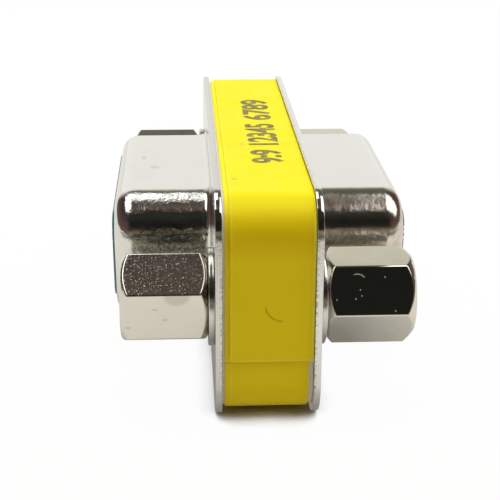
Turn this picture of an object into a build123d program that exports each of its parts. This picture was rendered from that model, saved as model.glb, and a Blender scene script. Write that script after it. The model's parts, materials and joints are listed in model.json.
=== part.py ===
from build123d import *
import math
import os

os.makedirs("parts", exist_ok=True)

# Millimetres. X is the mating axis, Y runs along the flanges, Z is up, and the origin is the middle of the part.
# Every piece of one side is drawn on the +X side and mirrored for the other.

# Contact pattern: five above four
PITCH = 2.77
ROW_GAP = 2.84
UPPER_COUNT = 5
LOWER_COUNT = 4

# Hexagonal hardware, number 4 thread with 40 turns to the inch
THREAD_RADIUS = 1.42
THREAD_DEPTH = 0.29
STUD_PLAY = 0.11
CORE_RADIUS = THREAD_RADIUS - THREAD_DEPTH
HEX_WALL = 0.83         # thread to the middle of a flat
HEX_ACROSS = 2 * (THREAD_RADIUS + HEX_WALL)
HEAD_LENGTH = 4.6
NUT_LENGTH = 4.72
HEX_CHAMFER = 0.4
NUT_CHAMFER = 0.52      # outer end of the jack nuts
END_LAND = 0.2          # middle of a flat to the round end face
SOCKET_THREAD = 3.0
STUD_IN_NUT = 1.4
TIP_CHAMFER = 0.25
WASHER = 0.33
WASHER_RIM = 0.02       # washer past the corners of the hexagon
WASHER_RADIUS = HEX_ACROSS / math.sqrt(3) + WASHER_RIM
WASHER_SPLIT = 0.45

# Steel shells of the E size, worked out from the contact pattern outward
SHEET = 0.36            # steel sheet of both shells
PIN_MARGIN = 2.625      # end contact of the upper row to the D's widest point
ROW_MARGIN = 2.53       # row to the D's flat side
SCREW_GAP = 4.33        # D's widest point to the screw axis
HOLE_MARGIN = 2.91      # screw axis to the flange's end
FLANGE_RISE = 2.3       # D's flat side to the flange's edge
D_WIDTH = (UPPER_COUNT - 1) * PITCH + 2 * PIN_MARGIN
D_HEIGHT = ROW_GAP + 2 * ROW_MARGIN
D_CORNER = 2.45
D_SLANT = math.radians(10)
HOLE_SPACING = D_WIDTH + 2 * SCREW_GAP
FLANGE_LENGTH = HOLE_SPACING + 2 * HOLE_MARGIN
FLANGE_HEIGHT = D_HEIGHT + 2 * FLANGE_RISE
FLANGE_CORNER = 2.2
FLANGE_FACE = 2.76      # middle of the part to the outer face of either flange
HOLE_RADIUS = THREAD_RADIUS + STUD_PLAY
SHROUD_REACH = 5.5
MOUTH_RADIUS = 1.1
RIM_FLAT = 0.1
ROOT_RADIUS = 0.4

# Stack between the flanges, outward from the middle
BOARD_HALF = 0.5
REAR_PLATE = 0.9
LIP_SIDE = 1.435
LIP_RISE = 0.75
BLOCK_LENGTH = D_WIDTH + 2 * LIP_SIDE
BLOCK_HEIGHT = D_HEIGHT + 2 * LIP_RISE
BLOCK_CORNER = 0.8
VIA_RADIUS = 0.25
VIA_OFFSET = 1.25

# Socket contacts, for pins of 1 mm
SOCKET_RADIUS = 0.51
TINE_WALL = 0.23
TAPER = 0.06
COLLAR_STEP = 0.15
BARREL_TIP_RADIUS = SOCKET_RADIUS + TINE_WALL
BARREL_RADIUS = BARREL_TIP_RADIUS + TAPER
COLLAR_RADIUS = BARREL_RADIUS + COLLAR_STEP
COLLAR_LENGTH = 0.5
SOCKET_DEPTH = 4.0
TINE_SLOT = 0.22
TINE_LENGTH = 3.3
TAIL_RADIUS = 0.35
MOUTH_SETBACK = 0.95
CAVITY_PLAY = 0.07

# Insulator nose and its pin entries
NOSE_PROUD = 0.12
NOSE_EDGE = 0.12
ENTRY_PLAY = 0.11
ENTRY_RADIUS = SOCKET_RADIUS + ENTRY_PLAY
ENTRY_LEAD = 0.3
SLIP = 0.03

# Spacer frame and tape label
FRAME_INSET = 0.4
WINDOW_PLAY = 0.05
TAPE = 0.1
TAPE_STEP = 0.25        # outer layer sideways past the one below
TAPE_MARGIN = 0.15      # lower layer to the left flange
TAPE_SHY = 0.02         # outer layer to the right flange
TAPE_END_Z = -2.64
TAPE_START_Z = 2.4
TAPE_RAMP = 1.5

FLANGE_BACK = FLANGE_FACE - SHEET
MOUTH = FLANGE_FACE + SHROUD_REACH
PLATE_FACE = BOARD_HALF + REAR_PLATE
SOCKET_MOUTH = MOUTH - MOUTH_SETBACK
HEX_BACK = FLANGE_FACE + WASHER
FRAME_LENGTH = FLANGE_LENGTH - 2 * FRAME_INSET
FRAME_HEIGHT = FLANGE_HEIGHT - 2 * FRAME_INSET
FRAME_CORNER = FLANGE_CORNER - FRAME_INSET
TAPE_LEFT = TAPE_MARGIN - FLANGE_BACK
TAPE_RIGHT = FLANGE_BACK - TAPE_SHY - TAPE_STEP


def across(x):
    """Plane square to the mating axis at x, with local axes Y and Z."""
    return Plane(origin=(x, 0, 0), x_dir=(0, 1, 0), z_dir=(1, 0, 0))


def slab(sketch, start, end):
    """A sketch of the YZ plane made solid between two stations of the mating axis."""
    return extrude(across(start) * sketch, end - start)


def rod(radius, start, end, y=0.0, z=0.0):
    return slab(Pos(y, z) * Circle(radius), start, end)


def turned(profile):
    """A profile of (x, radius) points spun about the mating axis."""
    return revolve(make_face(Polyline([(x, r, 0) for x, r in profile], close=True)), Axis.X)


def d_outline(inset):
    """The D with its wide side up, every edge moved inward by inset."""
    width = D_WIDTH - 2 * inset
    height = D_HEIGHT - 2 * inset
    corner = D_CORNER - inset
    slope = math.tan(D_SLANT)
    top = width / 2 - corner + corner / math.cos(D_SLANT) + corner * slope
    bottom = top - height * slope
    points = [(-top, height / 2), (top, height / 2), (bottom, -height / 2), (-bottom, -height / 2)]
    face = make_face(Polyline(points, close=True))
    return fillet(face.vertices(), corner)


def d_edges(part, x):
    """Edges of a D outline that lie in the plane at x."""
    flat = part.edges().filter_by_position(Axis.X, x - 1e-4, x + 1e-4)
    inner = flat.filter_by_position(Axis.Y, -D_WIDTH / 2 - SLIP, D_WIDTH / 2 + SLIP)
    return inner.filter_by_position(Axis.Z, -D_HEIGHT / 2 - SLIP, D_HEIGHT / 2 + SLIP)


def contact_places():
    """(y, z) of each contact, upper row first."""
    rows = ((UPPER_COUNT, ROW_GAP / 2), (LOWER_COUNT, -ROW_GAP / 2))
    return [((i - (count - 1) / 2) * PITCH, z) for count, z in rows for i in range(count)]


def screw_places():
    return [(-HOLE_SPACING / 2, 0), (HOLE_SPACING / 2, 0)]


def shell():
    """One pressing: flange, drawn shroud with a rolled mouth, and bends of one sheet at the root."""
    flange = slab(RectangleRounded(FLANGE_LENGTH, FLANGE_HEIGHT, FLANGE_CORNER), FLANGE_BACK, FLANGE_FACE)
    shroud = slab(d_outline(0), FLANGE_FACE, MOUTH)
    shroud = fillet(d_edges(shroud, MOUTH), MOUTH_RADIUS)
    body = flange + shroud
    body = fillet(d_edges(body, FLANGE_FACE), ROOT_RADIUS)
    hollow = slab(d_outline(SHEET), FLANGE_BACK, MOUTH - SHEET)
    hollow = fillet(d_edges(hollow, MOUTH - SHEET), MOUTH_RADIUS - SHEET)
    body -= hollow
    body -= slab(d_outline(MOUTH_RADIUS + RIM_FLAT), FLANGE_FACE, MOUTH + SHEET)
    body = fillet(d_edges(body, FLANGE_BACK), ROOT_RADIUS + SHEET)
    for y, z in screw_places():
        body -= rod(HOLE_RADIUS, FLANGE_BACK - SHEET, FLANGE_FACE + SHEET, y, z)
    return body


def socket_cavity():
    """Space cut from an insulator for one contact, from the collar seat out to the lead-in cone."""
    nose = MOUTH + NOSE_PROUD
    collar = COLLAR_RADIUS + CAVITY_PLAY
    barrel = BARREL_RADIUS + CAVITY_PLAY
    seat = PLATE_FACE + COLLAR_LENGTH
    return turned(
        [
            (PLATE_FACE - SHEET, 0),
            (PLATE_FACE - SHEET, collar),
            (seat, collar),
            (seat, barrel),
            (SOCKET_MOUTH + CAVITY_PLAY, barrel),
            (SOCKET_MOUTH + CAVITY_PLAY, ENTRY_RADIUS),
            (nose - ENTRY_LEAD, ENTRY_RADIUS),
            (nose, ENTRY_RADIUS + ENTRY_LEAD),
            (nose + SHEET, ENTRY_RADIUS + ENTRY_LEAD),
            (nose + SHEET, 0),
        ]
    )


def insulator():
    """Lip held behind the flange, D body inside the shroud, and the nose that fills the mouth."""
    lip = slab(RectangleRounded(BLOCK_LENGTH, BLOCK_HEIGHT, BLOCK_CORNER), PLATE_FACE, FLANGE_BACK)
    body_end = MOUTH - SHEET - SLIP
    body = slab(d_outline(SHEET + SLIP), FLANGE_BACK, body_end)
    body = fillet(d_edges(body, body_end), MOUTH_RADIUS - SHEET - SLIP)
    nose_end = MOUTH + NOSE_PROUD
    nose = slab(d_outline(MOUTH_RADIUS + RIM_FLAT + SLIP), FLANGE_FACE, nose_end)
    nose = chamfer(d_edges(nose, nose_end), NOSE_EDGE)
    block = lip + body + nose
    cavity = socket_cavity()
    for y, z in contact_places():
        block -= Pos(0, y, z) * cavity
    return block


def rear_plate():
    plate = slab(RectangleRounded(BLOCK_LENGTH, BLOCK_HEIGHT, BLOCK_CORNER), BOARD_HALF, PLATE_FACE)
    for y, z in contact_places():
        plate -= rod(TAIL_RADIUS + CAVITY_PLAY, 0, PLATE_FACE + SHEET, y, z)
    return plate


def contact():
    """Turned socket: tail, collar, tapered barrel and two tines that grip a 1 mm pin."""
    collar_end = PLATE_FACE + COLLAR_LENGTH
    taper_start = SOCKET_MOUTH - TINE_LENGTH
    floor = SOCKET_MOUTH - SOCKET_DEPTH
    lead = (BARREL_TIP_RADIUS - SOCKET_RADIUS) / 2
    blank = turned(
        [
            (BOARD_HALF, 0),
            (BOARD_HALF, TAIL_RADIUS),
            (PLATE_FACE, TAIL_RADIUS),
            (PLATE_FACE, COLLAR_RADIUS),
            (collar_end, COLLAR_RADIUS),
            (collar_end, BARREL_RADIUS),
            (taper_start, BARREL_RADIUS),
            (SOCKET_MOUTH, BARREL_TIP_RADIUS),
            (SOCKET_MOUTH, SOCKET_RADIUS + lead),
            (SOCKET_MOUTH - lead, SOCKET_RADIUS),
            (floor, SOCKET_RADIUS),
            (floor, 0),
        ]
    )
    slot = Pos(SOCKET_MOUTH - TINE_LENGTH / 2 + SHEET, 0, 0) * Box(TINE_LENGTH + 2 * SHEET, 3 * BARREL_RADIUS, TINE_SLOT)
    return blank - slot


def circuit_board():
    """Crossing board: a plated way through beside each pair of pads."""
    board = slab(RectangleRounded(BLOCK_LENGTH, BLOCK_HEIGHT, BLOCK_CORNER), -BOARD_HALF, BOARD_HALF)
    for y, z in contact_places():
        board -= rod(VIA_RADIUS, -2 * BOARD_HALF, 2 * BOARD_HALF, y, z + math.copysign(VIA_OFFSET, z))
    return board


def spacer_frame():
    """Moulded ring between the flanges with a window for the insulator stack and two screw ways."""
    frame = slab(RectangleRounded(FRAME_LENGTH, FRAME_HEIGHT, FRAME_CORNER), -FLANGE_BACK, FLANGE_BACK)
    play = 2 * WINDOW_PLAY
    window = RectangleRounded(BLOCK_LENGTH + play, BLOCK_HEIGHT + play, BLOCK_CORNER + WINDOW_PLAY)
    frame -= slab(window, -FLANGE_FACE, FLANGE_FACE)
    for y, z in screw_places():
        frame -= rod(HOLE_RADIUS, -FLANGE_FACE, FLANGE_FACE, y, z)
    return frame


def wrap(layers):
    """Outline of the frame with so many layers of tape on it."""
    grown = layers * TAPE
    return RectangleRounded(FRAME_LENGTH + 2 * grown, FRAME_HEIGHT + 2 * grown, FRAME_CORNER + grown)


def label_tape():
    """One turn of tape and an overlap, wound so that the outer layer steps sideways past the one below."""
    ring = slab(wrap(1) - wrap(0), TAPE_LEFT, TAPE_RIGHT)
    overlap = slab(wrap(2) - wrap(1), TAPE_LEFT + TAPE_STEP, TAPE_RIGHT + TAPE_STEP)
    far_face = FRAME_LENGTH / 2 + TAPE
    doubled = Polyline(
        [
            (-FLANGE_LENGTH, TAPE_END_Z),
            (0, TAPE_END_Z),
            (0, TAPE_START_Z),
            (FLANGE_LENGTH, TAPE_START_Z),
            (FLANGE_LENGTH, FLANGE_HEIGHT),
            (-FLANGE_LENGTH, FLANGE_HEIGHT),
        ],
        close=True,
    )
    overlap &= slab(make_face(doubled), -FLANGE_FACE, FLANGE_FACE)
    ramp = Polyline(
        [
            (far_face, TAPE_START_Z),
            (far_face + TAPE, TAPE_START_Z),
            (far_face, TAPE_START_Z - TAPE_RAMP),
        ],
        close=True,
    )
    return ring + overlap + slab(make_face(ramp), TAPE_LEFT + TAPE_STEP, TAPE_RIGHT)


def hexagon(length, end_chamfer):
    """Hexagonal bar on the washer, with the corners turned off at both ends."""
    start = HEX_BACK
    end = HEX_BACK + length
    corner = HEX_ACROSS / math.sqrt(3)
    flat = HEX_ACROSS / 2
    bar = slab(RegularPolygon(corner, 6), start, end)
    envelope = turned(
        [
            (start, 0),
            (start, flat - END_LAND),
            (start + HEX_CHAMFER, corner),
            (end - end_chamfer, corner),
            (end, flat - END_LAND),
            (end, 0),
        ]
    )
    return bar & envelope


def threaded_socket(end, depth):
    """Core of a tapped hole from the hexagon's outer end, with a countersunk mouth."""
    return turned(
        [
            (end - depth, 0),
            (end - depth, CORE_RADIUS),
            (end - THREAD_DEPTH, CORE_RADIUS),
            (end, THREAD_RADIUS),
            (end + THREAD_DEPTH, THREAD_RADIUS),
            (end + THREAD_DEPTH, 0),
        ]
    )


def jack_nut():
    """Standoff nut: takes the stud of the jack screw inside and a mating screw outside."""
    end = HEX_BACK + NUT_LENGTH
    stud_way = HEX_BACK + STUD_IN_NUT + TIP_CHAMFER
    nut = hexagon(NUT_LENGTH, NUT_CHAMFER)
    nut -= rod(THREAD_RADIUS + SLIP, HEX_BACK - WASHER, stud_way)
    return nut - threaded_socket(end, end - stud_way)


def jack_screw():
    """Hexagonal head with a blind tapped socket, and a stud that reaches through both flanges."""
    head = hexagon(HEAD_LENGTH, HEX_CHAMFER) - threaded_socket(HEX_BACK + HEAD_LENGTH, SOCKET_THREAD)
    tip = -(HEX_BACK + STUD_IN_NUT)
    stud = turned(
        [
            (HEX_BACK, 0),
            (HEX_BACK, THREAD_RADIUS),
            (tip + TIP_CHAMFER, THREAD_RADIUS),
            (tip, THREAD_RADIUS - TIP_CHAMFER),
            (tip, 0),
        ]
    )
    return head + stud


def lock_washer():
    """Split spring washer, pressed flat."""
    ring = rod(WASHER_RADIUS, FLANGE_FACE, HEX_BACK) - rod(HOLE_RADIUS, FLANGE_BACK, HEX_BACK + WASHER)
    mid = (FLANGE_FACE + HEX_BACK) / 2
    cut = Pos(mid, WASHER_RADIUS, 0) * Rot(25, 0, 0) * Box(2 * WASHER, 2 * WASHER_RADIUS, WASHER_SPLIT)
    return ring - cut


def save(name, part):
    part.label = name
    export_step(part, f"parts/{name}.step")


def flipped(part):
    return mirror(part, about=Plane.YZ)


shell_part = shell()
insulator_part = insulator()
plate_part = rear_plate()
contact_part = contact()
save("right_shell", shell_part)
save("left_shell", flipped(shell_part))
save("right_insulator", insulator_part)
save("left_insulator", flipped(insulator_part))
save("right_rear_plate", plate_part)
save("left_rear_plate", flipped(plate_part))
for number, (y, z) in enumerate(contact_places(), 1):
    right = Pos(0, y, z) * contact_part
    save(f"right_contact_{number}", right)
    save(f"left_contact_{number}", flipped(right))
save("circuit_board", circuit_board())
save("spacer_frame", spacer_frame())
save("label_tape", label_tape())

# Turn of each hexagon about its own axis, as tightened
turns = {
    "near_jack_screw": -24,
    "near_jack_nut": 4,
    "far_jack_screw": 13,
    "far_jack_nut": 5,
}
for end, (y, z) in zip(("near", "far"), screw_places()):
    screw = Rot(turns[f"{end}_jack_screw"], 0, 0) * flipped(jack_screw())
    nut = Rot(turns[f"{end}_jack_nut"], 0, 0) * jack_nut()
    save(f"{end}_jack_screw", Pos(0, y, z) * screw)
    save(f"{end}_jack_nut", Pos(0, y, z) * nut)
    washer = Pos(0, y, z) * lock_washer()
    save(f"{end}_right_washer", washer)
    save(f"{end}_left_washer", flipped(washer))
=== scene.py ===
import json
import math
import bmesh
import bpy
from mathutils import Matrix, Vector


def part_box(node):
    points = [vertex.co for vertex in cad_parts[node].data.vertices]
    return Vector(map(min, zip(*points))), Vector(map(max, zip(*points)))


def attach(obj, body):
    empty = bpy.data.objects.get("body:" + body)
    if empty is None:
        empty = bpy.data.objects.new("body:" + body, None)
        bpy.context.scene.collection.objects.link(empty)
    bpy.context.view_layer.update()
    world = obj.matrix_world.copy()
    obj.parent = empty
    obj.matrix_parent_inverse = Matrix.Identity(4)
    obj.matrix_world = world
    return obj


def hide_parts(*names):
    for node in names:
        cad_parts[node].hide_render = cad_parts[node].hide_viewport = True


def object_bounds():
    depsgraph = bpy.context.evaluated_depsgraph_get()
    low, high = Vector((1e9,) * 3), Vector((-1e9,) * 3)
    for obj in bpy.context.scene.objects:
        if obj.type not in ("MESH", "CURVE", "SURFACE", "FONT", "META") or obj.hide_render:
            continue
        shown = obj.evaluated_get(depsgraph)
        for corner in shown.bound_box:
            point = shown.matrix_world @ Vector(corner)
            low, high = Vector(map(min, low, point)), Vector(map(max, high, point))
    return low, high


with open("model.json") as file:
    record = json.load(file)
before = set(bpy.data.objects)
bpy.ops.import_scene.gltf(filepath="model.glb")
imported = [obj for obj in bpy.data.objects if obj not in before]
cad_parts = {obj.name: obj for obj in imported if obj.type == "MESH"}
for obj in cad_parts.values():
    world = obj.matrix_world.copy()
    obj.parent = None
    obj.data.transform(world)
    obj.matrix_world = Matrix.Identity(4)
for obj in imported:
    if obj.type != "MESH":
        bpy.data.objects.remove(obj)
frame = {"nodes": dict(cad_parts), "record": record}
cad_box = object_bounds()
nodes = frame["nodes"]

# Sizes on the part are named in millimetres and turned into Blender's metres with this
MM = 0.001


# Shader building

def node(tree, kind, settings=None, **inputs):
    """One shader node. An input is a plain value or another node's output."""
    made = tree.nodes.new("ShaderNode" + kind)
    for name, value in (settings or {}).items():
        setattr(made, name, value)
    for name, value in inputs.items():
        feed(tree, made.inputs[name.replace("_", " ")], value)
    return made


def feed(tree, socket, value):
    """Give a socket a plain value, or link another node's output to it."""
    if isinstance(value, bpy.types.NodeSocket):
        tree.links.new(value, socket)
    else:
        socket.default_value = value


def sums(tree, operation, *values, clamp=False):
    """What one math operation makes of the values."""
    made = node(tree, "Math", {"operation": operation, "use_clamp": clamp})
    for socket, value in zip(made.inputs, values):
        feed(tree, socket, value)
    return made.outputs[0]


def times(tree, first, *others):
    """The product of all the values."""
    for other in others:
        first = sums(tree, "MULTIPLY", first, other)
    return first


def inverse(tree, value):
    """A share turned round: 1 becomes 0."""
    return sums(tree, "SUBTRACT", 1.0, value)


def noise(tree, place, size, detail=2.0, roughness=0.5, stretch=None):
    """Noise whose grains are about size across, in millimetres."""
    if stretch:
        place = node(tree, "Mapping", Vector=place, Scale=stretch).outputs[0]
    made = node(tree, "TexNoise", Vector=place, Scale=1 / (size * MM), Detail=detail, Roughness=roughness)
    return made.outputs["Fac"]


def spread(tree, value, low, high, to_low=0.0, to_high=1.0):
    """The value moved from one range to another, and held at its ends."""
    made = node(tree, "MapRange", Value=value, From_Min=low, From_Max=high, To_Min=to_low, To_Max=to_high)
    return made.outputs["Result"]


def ramp(tree, value, *stops):
    """Colours along a value, as (position, colour) stops."""
    made = node(tree, "ValToRGB", Fac=value)
    elements = made.color_ramp.elements
    for position, _ in stops[2:]:
        elements.new(position)
    for element, (position, colour) in zip(elements, stops):
        element.position = position
        element.color = (*colour, 1)
    return made.outputs["Color"]


# Colour sockets of the mix node, which has others with the same names
MIX_FIRST = 6
MIX_SECOND = 7
MIX_RESULT = 2


def blend(tree, share, first, second):
    """The first colour where the share is 0 and the second where it is 1."""
    made = node(tree, "Mix", {"data_type": "RGBA"})
    feed(tree, made.inputs["Factor"], share)
    for index, colour in ((MIX_FIRST, first), (MIX_SECOND, second)):
        linked = isinstance(colour, bpy.types.NodeSocket)
        feed(tree, made.inputs[index], colour if linked else (*colour, 1))
    return made.outputs[MIX_RESULT]


def finish(name, **constants):
    """A new material: its tree, its shader and the place on the object in metres."""
    material = bpy.data.materials.new(name)
    material.use_nodes = True
    tree = material.node_tree
    shader = tree.nodes["Principled BSDF"]
    for key, value in constants.items():
        shader.inputs[key.replace("_", " ")].default_value = value
    return material, tree, shader, node(tree, "TexCoord").outputs["Object"]


def spot(tree, place, centre, reach, soft=0.4):
    """1 inside an ellipsoid on the object, fading to 0 at its edge. Centre and reach are in millimetres."""
    scale = [1 / (part * MM) for part in reach]
    shift = [-middle / part for middle, part in zip(centre, reach)]
    moved = node(tree, "Mapping", Vector=place, Scale=scale, Location=shift).outputs[0]
    away = node(tree, "VectorMath", {"operation": "LENGTH"}, Vector=moved).outputs["Value"]
    return spread(tree, away, 1.0, 1.0 - soft)


def arc_mark(tree, place, centre, radius, width, middle, reach):
    """1 along a thin arc on the object, in millimetres: round centre, and only near middle."""
    shift = [-part for part in centre]
    shifted = node(tree, "Mapping", Vector=place, Scale=[1 / MM] * 3, Location=shift).outputs[0]
    away = node(tree, "VectorMath", {"operation": "LENGTH"}, Vector=shifted).outputs["Value"]
    off_line = sums(tree, "ABSOLUTE", sums(tree, "SUBTRACT", away, radius))
    line = spread(tree, off_line, width, width / 2)
    return times(tree, line, spot(tree, place, middle, reach, 0.2))


def band(tree, value, *edges):
    """1 between its edges, each given as where it is 0 and where it is 1, in millimetres."""
    return times(tree, *(spread(tree, value, start * MM, full * MM) for start, full in edges))


def away_from_middle(tree, value, low, high):
    """0 nearer the middle than low and 1 further out than high, on either side, in millimetres."""
    return spread(tree, sums(tree, "ABSOLUTE", value), low * MM, high * MM)


def centred(tree, height, share):
    """A height from 0 to 1 turned round its middle and scaled by a share of the surface."""
    return times(tree, sums(tree, "SUBTRACT", height, 0.5), share)


def relief(tree, shader, *layers):
    """Bump from (height value, depth in millimetres) layers."""
    normal = None
    for height, depth in layers:
        bump = node(tree, "Bump", Height=height, Strength=1.0, Distance=depth * MM)
        if normal:
            tree.links.new(normal, bump.inputs["Normal"])
        normal = bump.outputs["Normal"]
    tree.links.new(normal, shader.inputs["Normal"])


STAIN_STRENGTH = 0.8


def stained(tree, place, colour, marks):
    """The colour with dull stains on it, as (centre, reach, shade)."""
    for centre, reach, shade in marks:
        share = times(tree, spot(tree, place, centre, reach), STAIN_STRENGTH)
        colour = blend(tree, share, colour, shade)
    return colour


# Plated metal

def plating(name, tint, worn, rough):
    """Nickel plate with a cloudy tint and a smeared gloss, and what the rest of a finish is added to."""
    material, tree, shader, place = finish(name, Metallic=1.0)
    colour = blend(tree, spread(tree, noise(tree, place, 1.6, 3.0), 0.45, 0.75), tint, worn)
    smear = noise(tree, place, 0.7, 4.0, 0.65, stretch=(1, 1, 0.4))
    feed(tree, shader.inputs["Roughness"], spread(tree, smear, 0.3, 0.75, *rough))
    return material, tree, shader, place, colour


NICKEL = (0.79, 0.775, 0.735)
NICKEL_DULL = (0.77, 0.753, 0.71)
# A darker nickel for the smudges on top and the band along the undersides
DARKER_NICKEL = (0.6, 0.59, 0.55)
# Painted shade: a dark grey that darkens what the metal mirrors
REFLECTION_SHADE = (0.2, 0.2, 0.15)
BROWN_CAST = (0.64, 0.53, 0.41)
DULL_RIM = (0.6, 0.58, 0.54)
BARE_EDGE = (0.3, 0.29, 0.27)

# Zones of the shells on either side of the middle: where each starts and where it is complete
DRAWN_BENDS = (5.75, 6.5)
SHROUD_ROOT = (2.9, 3.2)
SHROUD_MOUTH = (7.4, 8.0)
FLANGE_ENDS = (15.3, 15.4)
FLANGE_EDGES = (6.15, 6.25)
INNER_LIP = (2.44, 2.56)

# Zones of one shell only: where each starts and where it is complete
RIGHT_SHROUD = (2.6, 3.2)
LEFT_RIM = (0.5, -0.5)

# How far out on either side each shroud's own value holds in full
SHROUD_START = 3.0

# A spot of painted shade and stains, as centre and reach
# Painted shade: a mottled dark spot on the left shroud's front wall, darkening what it mirrors
SHADED_FRONT_WALL = ((-5.1, -8.6, 1.2), (2.3, 1.7, 1.7))
SHELL_SMUDGES_AND_UNDERSIDE = (
    ((-6.71, 0.62, 3.95), (0.16, 0.5, 0.3)),
    ((-6.0, -1.39, 3.95), (0.36, 0.4, 0.3)),
    # The last one darkens a wide band along the undersides of both shells
    ((0.0, 0.0, -4.1), (5.2, 5.0, 0.4)),
)


def left_to_right(tree, along, left, right):
    """One value on the left shroud and another on the right one."""
    return spread(tree, along, -SHROUD_START * MM, SHROUD_START * MM, left, right)


def shell_finish():
    """Drawn, plated sheet: smooth flats, grainy hazy bends, stains, painted shade, darker undersides, burred
    rims.
    """
    material, tree, shader, place, colour = plating("shell_plating", NICKEL, NICKEL_DULL, (0.03, 0.1))
    along, across, up = node(tree, "SeparateXYZ", Vector=place).outputs
    drawn = times(
        tree,
        away_from_middle(tree, across, *DRAWN_BENDS),
        away_from_middle(tree, along, *SHROUD_ROOT),
    )
    behind_mouth = inverse(tree, away_from_middle(tree, along, *SHROUD_MOUTH))
    peel = times(tree, drawn, left_to_right(tree, along, 1.0, 0.4), behind_mouth)
    haze = times(tree, drawn, left_to_right(tree, along, 0.04, 0.1))
    smeared = shader.inputs["Roughness"].links[0].from_socket
    feed(tree, shader.inputs["Roughness"], sums(tree, "ADD", smeared, haze))
    rim = sums(
        tree, "MAXIMUM",
        away_from_middle(tree, across, *FLANGE_ENDS),
        away_from_middle(tree, up, *FLANGE_EDGES),
    )
    colour = stained(tree, place, colour, [(centre, reach, DARKER_NICKEL) for centre, reach in SHELL_SMUDGES_AND_UNDERSIDE])
    mottle = spread(tree, noise(tree, place, 0.17, 4.0, 0.7), 0.38, 0.6, 0.15, 0.85)
    # Painted shade: the mottled dark spot on the left shroud's front wall
    painted_reflection_shade = times(tree, spot(tree, place, *SHADED_FRONT_WALL, soft=0.3), mottle)
    colour = blend(tree, painted_reflection_shade, colour, REFLECTION_SHADE)
    cloud = spread(tree, noise(tree, place, 0.6, 4.0, 0.65), 0.35, 0.6, 0.2, 0.8)
    browned = times(tree, drawn, band(tree, along, RIGHT_SHROUD), cloud)
    colour = blend(tree, browned, colour, BROWN_CAST)
    colour = blend(tree, times(tree, rim, band(tree, along, LEFT_RIM), 0.6), colour, DULL_RIM)
    inner_lip = inverse(tree, away_from_middle(tree, along, *INNER_LIP))
    burrs = spread(tree, noise(tree, place, 0.13, 3.0, 0.7), 0.5, 0.62)
    specks = times(tree, rim, inner_lip, burrs)
    feed(tree, shader.inputs["Base Color"], blend(tree, specks, colour, BARE_EDGE))
    relief(
        tree, shader,
        (centred(tree, noise(tree, place, 0.9, 1.0), peel), 0.045),
        (centred(tree, noise(tree, place, 0.2, 3.0, 0.6), peel), 0.02),
        (noise(tree, place, 0.3, 2.0), 0.0006),
        (times(tree, rim, noise(tree, place, 0.18, 3.0, 0.7)), 0.012),
    )
    return material


# The near jack screw's upper faces, its front face's stain and its specks
UPPER_FACES = (0.98, 1.1)
NEAR_SCREW = (0.0, -5.0)
SCREW_STAIN = ((-4.72, -14.85, 0.98), (0.78, 0.6, 0.62))
STAIN_SHADE = (0.44, 0.43, 0.37)
SCREW_SPECKS = ((-5.85, -14.78, 0.22), (-5.34, -14.72, -0.37), (-7.26, -14.67, -0.81))
SPECK_REACH = (0.18, 0.3, 0.09)
SPECK_SHADE = (0.6, 0.54, 0.46)


def screw_finish():
    """Turned hexagon. The near one's upper faces are pitted, and its front face has a stain and specks."""
    material, tree, shader, place, colour = plating(
        "screw_plating", (0.76, 0.725, 0.65), (0.73, 0.69, 0.61), (0.05, 0.12)
    )
    _, across, up = node(tree, "SeparateXYZ", Vector=place).outputs
    pitted = times(tree, band(tree, up, UPPER_FACES), band(tree, across, NEAR_SCREW))
    stain = times(tree, spot(tree, place, *SCREW_STAIN, soft=0.3), inverse(tree, pitted), 0.5)
    colour = blend(tree, stain, colour, STAIN_SHADE)
    colour = stained(tree, place, colour, [(speck, SPECK_REACH, SPECK_SHADE) for speck in SCREW_SPECKS])
    feed(tree, shader.inputs["Base Color"], colour)
    flecks = times(tree, spread(tree, noise(tree, place, 0.07, 2.0, 0.6), 0.56, 0.68), pitted, 0.2)
    feed(tree, shader.inputs["Metallic"], inverse(tree, flecks))
    pits = spread(tree, noise(tree, place, 0.085, 2.0, 0.5), 0.6, 0.78)
    relief(
        tree, shader,
        (times(tree, pits, pitted), 0.0034),
        (centred(tree, noise(tree, place, 0.14, 3.0, 0.65), pitted), 0.004),
        (noise(tree, place, 0.9, 2.0), 0.0015),
    )
    return material


# The near jack nut's scratch, as an arc and the part of it that is there, and its dust
SCRATCH_CENTRE = (4.66, -14.3, 1.36)
SCRATCH_RADIUS = 0.46
SCRATCH_WIDTH = 0.04
SCRATCH_MIDDLE = (4.8, -14.18, 1.75)
SCRATCH_REACH = (0.36, 0.5, 0.2)
DUST = (
    (4.79, -14.49, 1.04), (4.85, -14.63, 0.76), (3.56, -14.71, 0.59),
    (6.09, -14.2, 1.63), (4.55, -14.69, 0.62), (6.61, -14.98, 0.03),
)
DUST_REACH = (0.05, 0.06, 0.06)


def nut_finish():
    """Turned hexagon with a mirror-bright plate. The near one has dust specks and a curved scratch."""
    material, tree, shader, place, colour = plating(
        "nut_plating", (0.76, 0.73, 0.66), (0.72, 0.69, 0.62), (0.04, 0.1)
    )
    feed(tree, shader.inputs["Base Color"], colour)
    marks = arc_mark(
        tree, place, SCRATCH_CENTRE, SCRATCH_RADIUS, SCRATCH_WIDTH, SCRATCH_MIDDLE, SCRATCH_REACH
    )
    for grain in DUST:
        marks = sums(tree, "MAXIMUM", marks, spot(tree, place, grain, DUST_REACH))
    feed(tree, shader.inputs["Metallic"], inverse(tree, times(tree, marks, 0.45)))
    relief(tree, shader, (noise(tree, place, 1.4, 2.0), 0.002), (noise(tree, place, 0.3, 2.0), 0.0004))
    return material


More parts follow.
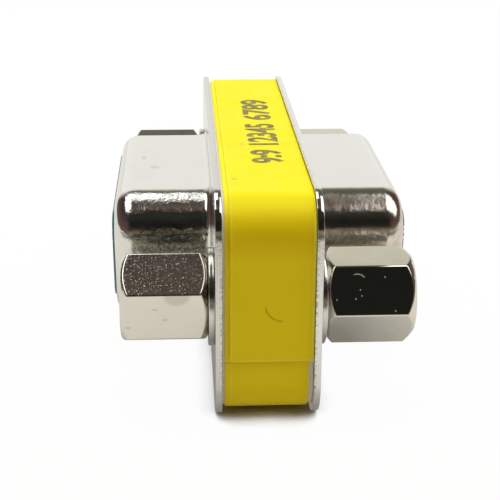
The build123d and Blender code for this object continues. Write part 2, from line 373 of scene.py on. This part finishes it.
def washer_finish():
    """Plated spring steel, duller than the hexagons."""
    material, tree, shader, place, colour = plating(
        "washer_steel", (0.7, 0.685, 0.65), (0.58, 0.56, 0.52), (0.12, 0.3)
    )
    feed(tree, shader.inputs["Base Color"], colour)
    relief(tree, shader, (noise(tree, place, 0.9), 0.01), (noise(tree, place, 0.12, 2.0, 0.6), 0.003))
    return material


# Distance from the middle where the contacts' gold is still dark with painted shade, deep in, and where it is
# bright
GOLD_IN_LIGHT = (6.5, 7.25)
# Painted shade: the colour of the gold deep in the entries
GOLD_PAINTED_SHADE = (0.035, 0.02, 0.008)


def gold_finish():
    """Gold plate, dark with painted shade deep in the entries."""
    material, tree, shader, place = finish("gold_plating", Metallic=1.0)
    cloud = noise(tree, place, 0.5, 3.0)
    gold = blend(tree, cloud, (0.75, 0.5, 0.18), (0.95, 0.72, 0.34))
    along = node(tree, "SeparateXYZ", Vector=place).outputs["X"]
    bright = away_from_middle(tree, along, *GOLD_IN_LIGHT)
    # Painted shade darkens the gold deep in the entries, where shade falls
    feed(tree, shader.inputs["Base Color"], blend(tree, bright, GOLD_PAINTED_SHADE, gold))
    feed(tree, shader.inputs["Roughness"], spread(tree, cloud, 0.3, 0.7, 0.14, 0.3))
    relief(tree, shader, (noise(tree, place, 0.06, 2.0, stretch=(0.2, 1, 1)), 0.001))
    return material


# Plastic, tape and ink

def moulded(name, colour, darker, rough):
    """Moulded plastic with a fine satin skin."""
    material, tree, shader, place = finish(name, IOR=1.5)
    feed(tree, shader.inputs["Base Color"], blend(tree, noise(tree, place, 0.6, 4.0), darker, colour))
    satin = spread(tree, noise(tree, place, 0.3), 0.3, 0.7, rough - 0.08, rough + 0.08)
    feed(tree, shader.inputs["Roughness"], satin)
    relief(tree, shader, (noise(tree, place, 0.08, 3.0), 0.002))
    return material


VINYL = (0.94, 0.83, 0.006)
VINYL_UNEVEN = (0.91, 0.79, 0.005)
# Painted shade: the deeper, warmer yellow of the near end, which faces away from the lamps
VINYL_PAINTED_NEAR_SHADE = (0.95, 0.772, 0.014)
# Painted shade: the darker yellow at the near top bend, where the light falls off
VINYL_PAINTED_BEND_SHADE = (0.78, 0.57, 0.001)
# Painted highlight: a pale yellow along the right cut edge of the near face
VINYL_PAINTED_EDGE_HIGHLIGHT = (1.0, 0.95, 0.12)
# Painted highlight: a pale line above the outer layer's end and beside its left edge
VINYL_PAINTED_HIGHLIGHT = (1.0, 0.98, 0.2)
# Painted shadow: a dark line just under the outer layer's end on the near face
PAINTED_END_SHADOW = (0.35, 0.3, 0.01)
HAIR = (0.28, 0.22, 0.01)
TAPE_SPECK = (0.68, 0.6, 0.1)

# Zones of the tape: where each starts and where it is complete
# Where the painted shade of the near end starts and where it is complete
NEAR_END_SHADE_ZONE = (-13.6, -15.0)
NEAR_FACE = (-14.6, -15.0)
# Where the painted shade at the near top bend lies, as centre and reach
BEND_SHADE_SPOT = ((0.0, -15.1, 4.4), (9.0, 1.3, 1.5))
# Where the painted highlight along the right cut edge starts and where it is complete
CUT_EDGE_HIGHLIGHT = (2.2, 2.27)

# The tape's outer end on the near face, with the lines of painted shadow and of painted highlight as heights
# above it
TAPE_END_Z = -2.64
END_SHADOW_LINE = ((0.02, -0.02), (-0.14, -0.05))
END_HIGHLIGHT_LINE = ((0.0, 0.04), (0.16, 0.05))

# The outer layer's left edge, and the painted highlight beside it
OUTER_LAYER_X = -2.0
SIDE_HIGHLIGHT_X = OUTER_LAYER_X + 0.06
SIDE_HIGHLIGHT = (0.09, 0.02)

# The hair, as an arc and the part of it that is there, and the specks on top
HAIR_CENTRE = (0.74, -15.2, 0.58)
HAIR_RADIUS = 0.93
HAIR_WIDTH = 0.055
HAIR_MIDDLE = (0.25, -15.2, 0.0)
HAIR_REACH = (0.62, 1.0, 0.68)
TOP_SPECKS = ((0.0, -0.92, 6.05), (-1.63, -10.97, 6.05), (-0.92, -3.99, 6.05))
TOP_SPECK_REACH = (0.2, 0.26, 0.2)


def tape_finish():
    """Yellow vinyl, a hair and specks; painted shade at the near end and bend, painted light and shadow at
    edges.
    """
    material, tree, shader, place = finish("yellow_vinyl", Specular_IOR_Level=0.09)
    patch = spread(tree, noise(tree, place, 3.2, 4.0, 0.6), 0.35, 0.7)
    colour = blend(tree, patch, VINYL, VINYL_UNEVEN)
    along, across, up = node(tree, "SeparateXYZ", Vector=place).outputs
    # Painted shade on the tape's near end
    colour = blend(tree, band(tree, across, NEAR_END_SHADE_ZONE), colour, VINYL_PAINTED_NEAR_SHADE)
    near_face = band(tree, across, NEAR_FACE)
    above_end = sums(tree, "SUBTRACT", up, TAPE_END_Z * MM)
    beside = sums(tree, "ABSOLUTE", sums(tree, "SUBTRACT", along, SIDE_HIGHLIGHT_X * MM))
    # Painted highlights above the outer layer's end and beside its left edge
    painted_highlights = sums(
        tree, "MAXIMUM",
        times(tree, near_face, band(tree, above_end, *END_HIGHLIGHT_LINE)),
        times(tree, band(tree, beside, SIDE_HIGHLIGHT), 0.6),
    )
    hair = arc_mark(tree, place, HAIR_CENTRE, HAIR_RADIUS, HAIR_WIDTH, HAIR_MIDDLE, HAIR_REACH)
    for mask, strength, shade in (
        # Painted shade at the near top bend
        (spot(tree, place, *BEND_SHADE_SPOT, soft=0.9), 0.8, VINYL_PAINTED_BEND_SHADE),
        # Painted highlight along the right cut edge
        (times(tree, band(tree, along, CUT_EDGE_HIGHLIGHT), near_face), 0.5, VINYL_PAINTED_EDGE_HIGHLIGHT),
        # Painted highlights at the outer layer's edges
        (painted_highlights, 0.25, VINYL_PAINTED_HIGHLIGHT),
        # Painted shadow under the outer layer's end
        (times(tree, near_face, band(tree, above_end, *END_SHADOW_LINE)), 0.4, PAINTED_END_SHADOW),
        (hair, 0.55, HAIR),
    ):
        colour = blend(tree, times(tree, mask, strength), colour, shade)
    colour = stained(tree, place, colour, [(speck, TOP_SPECK_REACH, TAPE_SPECK) for speck in TOP_SPECKS])
    feed(tree, shader.inputs["Base Color"], colour)
    feed(tree, shader.inputs["Roughness"], spread(tree, noise(tree, place, 0.8, 3.0), 0.3, 0.7, 0.42, 0.55))
    relief(tree, shader, (noise(tree, place, 1.6, 2.0), 0.01), (noise(tree, place, 0.12, 2.0), 0.0012))
    return material


def ink_finish():
    """Printing ink on vinyl, worn thin in patches."""
    material, tree, shader, place = finish("label_ink", Specular_IOR_Level=0.2)
    thin = spread(tree, noise(tree, place, 0.5, 4.0, 0.6), 0.4, 0.68)
    feed(tree, shader.inputs["Base Color"], blend(tree, thin, (0.13, 0.11, 0.03), (0.42, 0.36, 0.06)))
    feed(tree, shader.inputs["Roughness"], spread(tree, thin, 0.0, 1.0, 0.4, 0.6))
    relief(tree, shader, (noise(tree, place, 0.1, 2.0), 0.001))
    return material


shell_plating = shell_finish()
screw_plating = screw_finish()
nut_plating = nut_finish()
washer_steel = washer_finish()
gold_plating = gold_finish()
teal_plastic = moulded("teal_plastic", (0.03, 0.15, 0.19), (0.02, 0.11, 0.14), 0.24)
rear_plastic = moulded("rear_plastic", (0.035, 0.04, 0.045), (0.02, 0.02, 0.025), 0.45)
cream_plastic = moulded("cream_plastic", (0.93, 0.91, 0.82), (0.88, 0.85, 0.74), 0.45)
board_laminate = moulded("board_laminate", (0.03, 0.16, 0.06), (0.02, 0.11, 0.045), 0.35)
yellow_vinyl = tape_finish()
label_ink = ink_finish()


# Making pieces

MERGE_GAP = 1e-4
FLAT_WITHIN = math.radians(0.4)


def rough_copy(name):
    """The node's own shape as one merged mesh with its flat faces whole."""
    form = bmesh.new()
    form.from_mesh(nodes[name].data)
    bmesh.ops.remove_doubles(form, verts=form.verts, dist=MERGE_GAP * MM)
    bmesh.ops.dissolve_limit(form, verts=form.verts, edges=form.edges, angle_limit=FLAT_WITHIN)
    return form


def place_piece(form, name, material, smooth=35, edge=0.0):
    """A finished piece on the body: smooth up to an angle in degrees, edges broken in millimetres."""
    mesh = bpy.data.meshes.new(name)
    form.to_mesh(mesh)
    form.free()
    for layer in ("custom_normal", "sharp_edge", "sharp_face"):
        if layer in mesh.attributes:
            mesh.attributes.remove(mesh.attributes[layer])
    mesh.materials.clear()
    mesh.materials.append(material)
    mesh.shade_smooth()
    piece = bpy.data.objects.new(name, mesh)
    bpy.context.scene.collection.objects.link(piece)
    if edge:
        bevel = piece.modifiers.new("broken_edges", "BEVEL")
        bevel.width = edge * MM
        bevel.segments = 2
        bevel.limit_method = "ANGLE"
        bevel.angle_limit = math.radians(smooth)
    else:
        mesh.set_sharp_from_angle(angle=math.radians(smooth))
    even = piece.modifiers.new("even_normals", "WEIGHTED_NORMAL")
    even.keep_sharp = True
    even.weight = 90
    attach(piece, "root")
    return piece


def dress(name, material, edge=0.0, smooth=35):
    """A finished copy of a node in its place."""
    piece = place_piece(rough_copy(name), name + "_dressed", material, smooth, edge)
    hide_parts(name)


def taken_out(form, cutter):
    """The form with the cutter's shape taken out of it."""
    bodies = []
    for part in (form, cutter):
        mesh = bpy.data.meshes.new("work")
        part.to_mesh(mesh)
        part.free()
        bodies.append(bpy.data.objects.new("work", mesh))
        bpy.context.scene.collection.objects.link(bodies[-1])
    cutting = bodies[0].modifiers.new("cutting", "BOOLEAN")
    cutting.operation = "DIFFERENCE"
    cutting.solver = "EXACT"
    cutting.object = bodies[1]
    graph = bpy.context.evaluated_depsgraph_get()
    result = bmesh.new()
    result.from_mesh(bpy.data.meshes.new_from_object(bodies[0].evaluated_get(graph)))
    for body in bodies:
        bpy.data.objects.remove(body)
    return result


# Threaded hexagons

THREAD_PITCH = 0.635
THREAD_ROOT = 1.42
THREAD_CREST = 1.08
THREAD_LAND = 0.04
THREAD_STEPS = 28
TURNS_APART = 0.005


def thread_groove(outer_end, direction, length, place_y):
    """A V groove wound along a socket from just outside its mouth."""
    form = bmesh.new()
    half = THREAD_PITCH / 2 - TURNS_APART
    profile = (
        (THREAD_CREST, -half),
        (THREAD_ROOT, -THREAD_LAND),
        (THREAD_ROOT, THREAD_LAND),
        (THREAD_CREST, half),
    )
    start = outer_end + direction * THREAD_PITCH / 2
    points = [form.verts.new(Vector((start + shift, place_y, radius)) * MM) for radius, shift in profile]
    face = form.faces.new(points)
    turns = (length + THREAD_PITCH / 2) / THREAD_PITCH
    steps = round(turns * THREAD_STEPS)
    advance = -direction * turns * THREAD_PITCH / steps
    bmesh.ops.spin(
        form, geom=[face], cent=Vector((0, place_y, 0)) * MM, axis=(1, 0, 0),
        dvec=Vector((advance, 0, 0)) * MM, angle=turns * math.tau, steps=steps,
    )
    bmesh.ops.remove_doubles(form, verts=form.verts, dist=MERGE_GAP * MM)
    bmesh.ops.recalc_face_normals(form, faces=form.faces)
    return form


HEX_BREAK = 0.16
HEX_CORNER = math.radians(20)

# Edges nearer the axis than this are the socket's and the stud's
INSIDE_HEX = 1.9


def broken_hexagon(name, place_y):
    """The node's shape with the edges of its hexagon rounded over."""
    form = rough_copy(name)
    axis = Vector((0, place_y, 0)) * MM
    edges = []
    for edge in form.edges:
        middle = (edge.verts[0].co + edge.verts[1].co) / 2 - axis
        outside = math.hypot(middle.y, middle.z) > INSIDE_HEX * MM
        if outside and edge.calc_face_angle(0) > HEX_CORNER:
            edges.append(edge)
    bmesh.ops.bevel(
        form, geom=edges, affect="EDGES", offset=HEX_BREAK * MM, offset_type="OFFSET", segments=3,
        profile=0.5, material=-1, clamp_overlap=True,
    )
    return form


# Node, the mount in its threaded socket, finish, slot, thread's length
HEXAGONS = (
    ("near_jack_screw", "near_screw_socket", screw_plating, "plated_screw", 2.6),
    ("far_jack_screw", "far_screw_socket", screw_plating, "plated_screw", 2.6),
    ("near_jack_nut", "near_nut_socket", nut_plating, "plated_nut", 2.7),
    ("far_jack_nut", "far_nut_socket", nut_plating, "plated_nut", 2.7),
)


def threaded_hexagon(name, mount, length):
    """The node's shape with a rounded hexagon and a thread cut in the socket that the mount names."""
    direction = mount["axis"][0]
    place_y = mount["pos_m"][1] / MM
    low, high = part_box(name)
    outer_end = (high if direction > 0 else low)[0] / MM
    groove = thread_groove(outer_end, direction, length, place_y)
    return taken_out(broken_hexagon(name, place_y), groove)


# Figures

# In the font's own units, before the figures are brought to size
FONT_DEPTH = 0.01
FONT_BOLDER = 0.03
FONT_MERGE_GAP = 1e-5


def lettering(text, length, height):
    """Figures as a thin solid: length along X and height along Y, from the origin."""
    data = bpy.data.curves.new("figures", "FONT")
    data.body = text
    data.extrude = FONT_DEPTH
    data.offset = FONT_BOLDER
    data.resolution_u = 4
    source = bpy.data.objects.new("figures", data)
    form = bmesh.new()
    form.from_mesh(bpy.data.meshes.new_from_object(source))
    bpy.data.objects.remove(source)
    bmesh.ops.remove_doubles(form, verts=form.verts, dist=FONT_MERGE_GAP)
    low = Vector([min(vert.co[axis] for vert in form.verts) for axis in range(3)])
    high = Vector([max(vert.co[axis] for vert in form.verts) for axis in range(3)])
    bmesh.ops.translate(form, verts=form.verts, vec=-low)
    scale = Vector((length / (high.x - low.x), height / (high.y - low.y), 1.0))
    bmesh.ops.scale(form, verts=form.verts, vec=scale)
    return form


def set_down(form, right, up, corner, thickness):
    """Lettering that reads along right, its tops towards up, on a surface at corner, in millimetres."""
    deep = max(vert.co.z for vert in form.verts)
    bmesh.ops.scale(form, verts=form.verts, vec=(1, 1, thickness / deep))
    turned = Matrix((Vector(right), Vector(up), Vector(right).cross(Vector(up)))).transposed().to_4x4()
    placed = Matrix.Scale(MM, 4) @ Matrix.Translation(corner) @ turned
    bmesh.ops.transform(form, verts=form.verts, matrix=placed)
    return form


# Figure, where it starts along the way it reads, foot, width
FACE_FIGURES = (
    ("1", 6.56, 1.05, 0.22),
    ("5", -6.9, 1.05, 0.36),
    ("6", 5.3, -1.85, 0.45),
    ("9", -5.75, -1.85, 0.45),
)
FIGURE_HEIGHT = 0.8
FIGURE_DEPTH = 0.14
NOSE_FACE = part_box("right_insulator")[1][0] / MM


def numbered_insulator(side):
    """The insulator with the numbers of its end contacts sunk into the nose, as read from that side."""
    form = rough_copy(side + "_insulator")
    way = 1 if side == "right" else -1
    for text, start, foot, width in FACE_FIGURES:
        corner = Vector((way * (NOSE_FACE - FIGURE_DEPTH), way * start, foot))
        figure = lettering(text, width, FIGURE_HEIGHT)
        form = taken_out(form, set_down(figure, (0, way, 0), (0, 0, 1), corner, 2 * FIGURE_DEPTH))
    return form


# Text on top of the label, where it starts along Y, length
LABEL_FIGURES = (
    ("9:9", -8.0, 2.7),
    ("12345", -4.25, 4.9),
    ("6789", 1.65, 5.4),
)
LABEL_FOOT_X = 1.3
LABEL_HEIGHT = 1.8
TAPE_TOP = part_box("label_tape")[1][2] / MM
INK = 0.012


# The pieces

for side in ("left", "right"):
    dress(side + "_shell", shell_plating, edge=0.03, smooth=50)
    node_name = side + "_insulator"
    insulator = place_piece(numbered_insulator(side), node_name + "_numbered", teal_plastic)
    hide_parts(node_name)
    for number in range(1, 10):
        dress(f"{side}_contact_{number}", gold_plating)

mounts = {mount["name"]: mount for mount in frame["record"]["mounts"]}
for name, socket, material, slot, length in HEXAGONS:
    form = threaded_hexagon(name, mounts[socket], length)
    threaded = place_piece(form, name + "_threaded", material, smooth=22)
    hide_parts(name)

for end in ("near", "far"):
    for side in ("left", "right"):
        dress(f"{end}_{side}_washer", washer_steel, edge=0.06)

dress("label_tape", yellow_vinyl)
dress("spacer_frame", cream_plastic, edge=0.04)

for count, (text, start, length) in enumerate(LABEL_FIGURES, 1):
    corner = Vector((LABEL_FOOT_X, start, TAPE_TOP))
    figures = set_down(lettering(text, length, LABEL_HEIGHT), (0, 1, 0), (-1, 0, 0), corner, INK)
    place_piece(figures, f"label_figures_{count}", label_ink)

# These stay as the CAD made them, with a better material
for name, material in (
    ("left_rear_plate", rear_plastic),
    ("right_rear_plate", rear_plastic),
    ("circuit_board", board_laminate),
):
    for slot in nodes[name].material_slots:
        slot.material = material


# Camera, as the photograph was taken

CAMERA_PLACE = Vector((-4.325, -73.804, 25.12)) * MM
PITCH, YAW, ROLL = (math.radians(angle) for angle in (20.14, 3.25, 0.34))
PHOTO_PIXELS = 500
FOCAL_PIXELS = 1241.4
SENSOR = 36.0

ahead = Vector((math.sin(YAW) * math.cos(PITCH), math.cos(YAW) * math.cos(PITCH), -math.sin(PITCH)))
level = Vector((math.cos(YAW), -math.sin(YAW), 0))
upward = level.cross(ahead)
rolled_level = level * math.cos(ROLL) + upward * math.sin(ROLL)
rolled_upward = upward * math.cos(ROLL) - level * math.sin(ROLL)
camera_data = bpy.data.cameras.new("camera")
camera_data.sensor_width = SENSOR
camera_data.lens = FOCAL_PIXELS / PHOTO_PIXELS * SENSOR
camera_data.clip_start = 1 * MM
camera = bpy.data.objects.new("camera", camera_data)
facing = Matrix((rolled_level, rolled_upward, -ahead)).transposed().to_4x4()
camera.matrix_world = Matrix.Translation(CAMERA_PLACE) @ facing
bpy.context.scene.collection.objects.link(camera)
bpy.context.scene.camera = camera


# Studio, with its own sizes in metres

FLOOR_REACH = 1.5
FLOOR_GAP = 2e-6
FLOOR_WHITE = (0.92, 0.92, 0.9)
FLOOR_WARM = (0.62, 0.54, 0.4)
WARM_TO_WHITE = (-0.03, 0.01)
CONTACT_SHADE = 0.0022
WHITE_ON_CAMERA = 0.97
FLOOR_IN_METAL = (0.93, 0.905, 0.84)
SHADE_IN_METAL = 0.012
DARK_IN_FRONT = (-0.07, -0.035)


def studio_floor():
    """White paper, shaded close to the part. In the metal it mirrors darker in front than behind."""
    form = bmesh.new()
    bmesh.ops.create_grid(form, x_segments=1, y_segments=1, size=FLOOR_REACH)
    bmesh.ops.translate(form, verts=form.verts, vec=(0, 0, cad_box[0].z - FLOOR_GAP))
    mesh = bpy.data.meshes.new("floor")
    form.to_mesh(mesh)
    form.free()
    floor = bpy.data.objects.new("floor", mesh)
    bpy.context.scene.collection.objects.link(floor)
    material = bpy.data.materials.new("paper_floor")
    material.use_nodes = True
    tree = material.node_tree
    tree.nodes.clear()
    place = node(tree, "TexCoord").outputs["Object"]
    depth = node(tree, "SeparateXYZ", Vector=place).outputs["Y"]
    paper = blend(tree, spread(tree, depth, *WARM_TO_WHITE), FLOOR_WARM, FLOOR_WHITE)
    lit = node(tree, "BsdfDiffuse", Color=paper).outputs[0]

    # Painted shade: what metal mirrors of the floor is a glow, dimmed near the part by occlusion and in front
    open_wide = node(tree, "AmbientOcclusion", {"samples": 8}, Distance=SHADE_IN_METAL).outputs["AO"]
    behind = spread(tree, depth, *DARK_IN_FRONT, 0.12, 1.0)
    glow = times(tree, spread(tree, open_wide, 0.5, 0.95, 0.3, 0.93), behind)
    tinted = node(tree, "Emission", Color=(*FLOOR_IN_METAL, 1), Strength=glow).outputs[0]

    open_close = node(tree, "AmbientOcclusion", {"samples": 8}, Distance=CONTACT_SHADE).outputs["AO"]
    open_paper = spread(tree, open_close, 0.3, 0.62)
    white = node(tree, "Emission", Color=(1, 1, 1, 1)).outputs[0]

    ray = node(tree, "LightPath").outputs
    mirrored = node(tree, "MixShader", Fac=ray["Is Glossy Ray"])
    tree.links.new(lit, mirrored.inputs[1])
    tree.links.new(tinted, mirrored.inputs[2])
    shown = node(tree, "MixShader", Fac=times(tree, ray["Is Camera Ray"], WHITE_ON_CAMERA, open_paper))
    tree.links.new(mirrored.outputs[0], shown.inputs[1])
    tree.links.new(white, shown.inputs[2])
    output = node(tree, "OutputMaterial")
    tree.links.new(shown.outputs[0], output.inputs["Surface"])
    mesh.materials.append(material)


# The room's colours from level in front, over the top, to level behind
FRONT_TO_BACK = (
    (0.0, (0.26, 0.215, 0.15)),
    (0.06, (0.22, 0.185, 0.13)),
    (0.09, (0.013, 0.014, 0.012)),
    (0.2, (0.013, 0.014, 0.012)),
    (0.26, (0.023, 0.026, 0.02)),
    (0.385, (0.024, 0.027, 0.021)),
    (0.41, (0.15, 0.1, 0.075)),
    (0.5, (0.06, 0.053, 0.047)),
    (0.56, (0.1, 0.095, 0.08)),
    (0.74, (0.12, 0.13, 0.105)),
    (0.8, (0.18, 0.19, 0.15)),
    (0.84, (0.7, 0.68, 0.57)),
    (0.88, (0.95, 0.95, 0.92)),
    (1.0, (0.97, 0.97, 0.95)),
)

# Its colours at the sides, from level to straight up
SIDE_WALLS = (
    (0.0, (0.9, 0.89, 0.84)),
    (0.04, (0.8, 0.78, 0.7)),
    (0.08, (0.12, 0.1, 0.09)),
    (0.3, (0.11, 0.07, 0.06)),
    (0.6, (0.05, 0.035, 0.035)),
    (1.0, (0.08, 0.07, 0.065)),
)


def studio_room():
    """What the metal mirrors: white paper behind, a dark room in front and overhead, and side walls."""
    world = bpy.data.worlds.new("room")
    bpy.context.scene.world = world
    world.use_nodes = True
    tree = world.node_tree
    tree.nodes.clear()
    towards = node(tree, "SeparateXYZ", Vector=node(tree, "TexCoord").outputs["Generated"]).outputs
    arc = sums(tree, "ARCTAN2", towards["Z"], times(tree, towards["Y"], -1.0))
    turn = sums(tree, "DIVIDE", arc, math.pi, clamp=True)
    lean = sums(tree, "ABSOLUTE", towards["X"])
    room = blend(
        tree, spread(tree, lean, 0.3, 0.6),
        ramp(tree, turn, *FRONT_TO_BACK),
        ramp(tree, towards["Z"], *SIDE_WALLS),
    )
    on_camera = node(tree, "LightPath").outputs["Is Camera Ray"]
    background = node(tree, "Background", Color=blend(tree, on_camera, room, (1, 1, 1)))
    output = node(tree, "OutputWorld")
    tree.links.new(background.outputs[0], output.inputs["Surface"])


studio_floor()
studio_room()

LAMP_HEIGHT = 0.5
FRONT_LAMP_HEIGHT = 0.06
FRONT_LAMP_TILT = math.radians(83)


def softbox(name, low_x, high_x, low_y, high_y, glow, mirrored=True, colour=(1, 1, 1)):
    """A level soft lamp overhead. Its edges are given as shares of its height above the part."""
    width = (high_x - low_x) * LAMP_HEIGHT
    length = (high_y - low_y) * LAMP_HEIGHT
    data = bpy.data.lights.new(name, "AREA")
    data.shape = "RECTANGLE"
    data.size = width
    data.size_y = length
    data.energy = glow * math.pi * width * length
    data.color = colour
    lamp = bpy.data.objects.new(name, data)
    lamp.location = ((low_x + high_x) / 2 * LAMP_HEIGHT, (low_y + high_y) / 2 * LAMP_HEIGHT, LAMP_HEIGHT)
    lamp.visible_glossy = mirrored
    bpy.context.scene.collection.objects.link(lamp)
    return lamp


softbox("left_softbox", -0.8, -0.065, 0.22, 0.84, 2.2)
softbox("left_low_softbox", -0.8, -0.22, -0.3, 0.2, 2.2)
softbox("middle_softbox", -0.042, -0.014, 0.22, 0.84, 2.0)
softbox("narrow_softbox", 0.008, 0.04, 0.22, 0.84, 2.2)
softbox("right_softbox", 0.22, 2.2, -0.5, 0.45, 2.0)
softbox("overhead_fill", -0.5, 0.4, -0.45, 0.55, 2.6, mirrored=False)

# The one lamp that isn't level: it stands low in front and lights the near face
front = softbox("front_fill", -0.6, 0.6, -0.2, 0.2, 0.05, mirrored=False, colour=(1.0, 0.9, 0.75))
front.location = (0, -LAMP_HEIGHT, FRONT_LAMP_HEIGHT)
front.rotation_euler = (FRONT_LAMP_TILT, 0, 0)

bpy.context.scene.view_settings.view_transform = "Standard"
